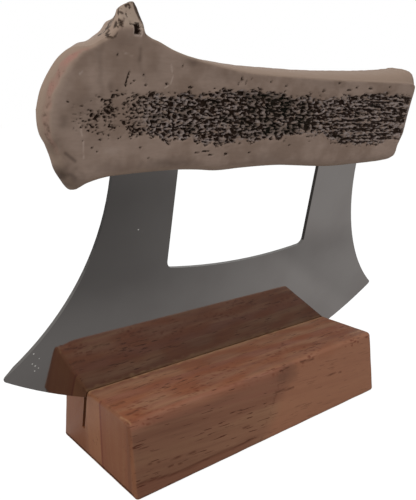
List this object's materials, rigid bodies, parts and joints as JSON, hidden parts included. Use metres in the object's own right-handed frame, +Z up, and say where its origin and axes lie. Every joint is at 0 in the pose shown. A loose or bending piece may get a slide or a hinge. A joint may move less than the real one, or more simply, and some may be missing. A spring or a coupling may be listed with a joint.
{
  "type": "ulu knife with stand",
  "caption": "Crescent-bladed ulu knife with a sawn antler handle, standing in the leaning saw kerf of a small hardwood block with sloping sides.",
  "frame": {"origin": "middle of the wooden block's flat base, on the surface that it stands on", "axes": "+X along the block from the handle's crown end towards its plain end, +Y to the rear (the blade leans forward, towards -Y), +Z up"},
  "size_m": [0.1515, 0.0414, 0.1226],
  "materials": {
    "mahogany": "oiled",
    "steel": "satin polished",
    "antler": "sanded antler with its spongy core showing",
    "epoxy": "set resin"
  },
  "bodies": {
    "stand": {"stand_block": "mahogany"},
    "knife": {"blade": "steel", "antler_handle": "antler", "left_tang_epoxy": "epoxy", "right_tang_epoxy": "epoxy"}
  },
  "joints": [
    {"name": "knife_lift", "type": "slide", "parent": "stand", "child": "knife", "axis": [0, -0.1805, 0.9836], "range_m": [0, 0.06]}
  ]
}
